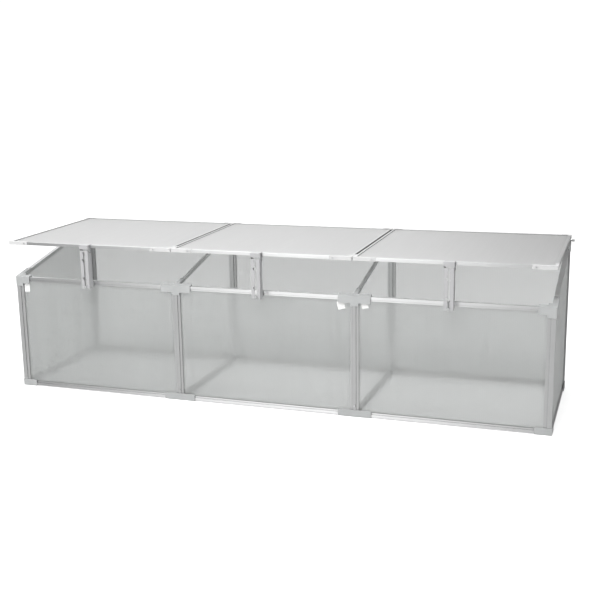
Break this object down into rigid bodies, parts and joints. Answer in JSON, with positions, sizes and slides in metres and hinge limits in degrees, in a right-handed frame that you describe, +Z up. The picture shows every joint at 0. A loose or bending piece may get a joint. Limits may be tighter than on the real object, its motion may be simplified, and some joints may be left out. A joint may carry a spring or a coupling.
{
  "type": "cold frame",
  "caption": "Low three-bay cold frame of aluminium rails and twin-wall sheets, with rear-hinged lids held open by channel stays.",
  "frame": {"origin": "on the ground, under the centre of the whole object with its lids propped; the walls' footprint is 1.80 m by 0.49 m, centred 16 mm behind it, as the lids and stays overhang the front", "axes": "+X to the right along the width, +Y from the low front to the hinges at the rear, +Z up"},
  "size_m": [1.824, 0.5459, 0.5205],
  "materials": {
    "rail": "mill-finish extrusion, satin",
    "front_sheet": "translucent twin-wall polycarbonate",
    "lid_sheet": "translucent twin-wall polycarbonate",
    "joiner": "light grey moulded plastic",
    "screw": "zinc-plated steel",
    "rod": "drawn steel rod",
    "stay": "punched and bent sheet, satin"
  },
  "bodies": {
    "frame": {"front_base_rail_left": "rail", "front_top_rail_left": "rail", "front_panel_left": "front_sheet", "front_base_rail_middle": "rail", "front_top_rail_middle": "rail", "front_panel_middle": "front_sheet", "front_base_rail_right": "rail", "front_top_rail_right": "rail", "front_panel_right": "front_sheet", "rear_base_rails": "rail", "rear_top_rails": "rail", "rear_panels": "front_sheet", "side_base_rail_left": "rail", "side_top_rail_left": "rail", "side_panel_left": "front_sheet", "front_corner_post_left": "rail", "rear_corner_post_left": "rail", "side_base_rail_right": "rail", "side_top_rail_right": "rail", "side_panel_right": "front_sheet", "front_corner_post_right": "rail", "rear_corner_post_right": "rail", "front_middle_posts": "rail", "rear_middle_posts": "rail", "cross_base_rails": "rail", "cross_top_rails": "rail", "corner_feet": "joiner", "middle_feet": "joiner", "front_corner_joiners": "joiner", "rear_corner_joiners": "joiner", "front_tee_joiners": "joiner", "rear_tee_joiners": "joiner", "frame_screws": "screw", "hinge_rods": "rod", "hinge_rod_caps": "joiner", "stay_pegs": "joiner"},
    "lid_left": {"lid_left_front_rail": "rail", "lid_left_rear_rail": "rail", "lid_left_side_rails": "rail", "lid_left_panel": "lid_sheet", "lid_left_corner_caps": "joiner", "lid_left_stay_bracket": "stay"},
    "stay_left": {"stay_left_bar": "stay", "stay_left_rivets": "screw"},
    "lid_middle": {"lid_middle_front_rail": "rail", "lid_middle_rear_rail": "rail", "lid_middle_side_rails": "rail", "lid_middle_panel": "lid_sheet", "lid_middle_corner_caps": "joiner", "lid_middle_stay_bracket": "stay"},
    "stay_middle": {"stay_middle_bar": "stay", "stay_middle_rivets": "screw"},
    "lid_right": {"lid_right_front_rail": "rail", "lid_right_rear_rail": "rail", "lid_right_side_rails": "rail", "lid_right_panel": "lid_sheet", "lid_right_corner_caps": "joiner", "lid_right_stay_bracket": "stay"},
    "stay_right": {"stay_right_bar": "stay", "stay_right_rivets": "screw"}
  },
  "joints": [
    {"name": "lid_left_hinge", "type": "hinge", "parent": "frame", "child": "lid_left", "pos_m": [-0.6015, 0.26594, 0.502], "axis": [-1, 0, 0], "range_deg": [-12.8, 85]},
    {"name": "stay_left_pivot", "type": "hinge", "parent": "lid_left", "child": "stay_left", "pos_m": [-0.6075, -0.25193, 0.48946], "axis": [-1, 0, 0], "range_deg": [-85, 12.8]},
    {"name": "lid_middle_hinge", "type": "hinge", "parent": "frame", "child": "lid_middle", "pos_m": [0, 0.26594, 0.502], "axis": [-1, 0, 0], "range_deg": [-12.8, 85]},
    {"name": "stay_middle_pivot", "type": "hinge", "parent": "lid_middle", "child": "stay_middle", "pos_m": [-0.006, -0.25193, 0.48946], "axis": [-1, 0, 0], "range_deg": [-85, 12.8]},
    {"name": "lid_right_hinge", "type": "hinge", "parent": "frame", "child": "lid_right", "pos_m": [0.6015, 0.26594, 0.502], "axis": [-1, 0, 0], "range_deg": [-12.8, 85]},
    {"name": "stay_right_pivot", "type": "hinge", "parent": "lid_right", "child": "stay_right", "pos_m": [0.5955, -0.25193, 0.48946], "axis": [-1, 0, 0], "range_deg": [-85, 12.8]}
  ],
  "couplings": [
    {"joint": "stay_left_pivot", "follows": "lid_left_hinge", "ratio": -1},
    {"joint": "stay_middle_pivot", "follows": "lid_middle_hinge", "ratio": -1},
    {"joint": "stay_right_pivot", "follows": "lid_right_hinge", "ratio": -1}
  ]
}
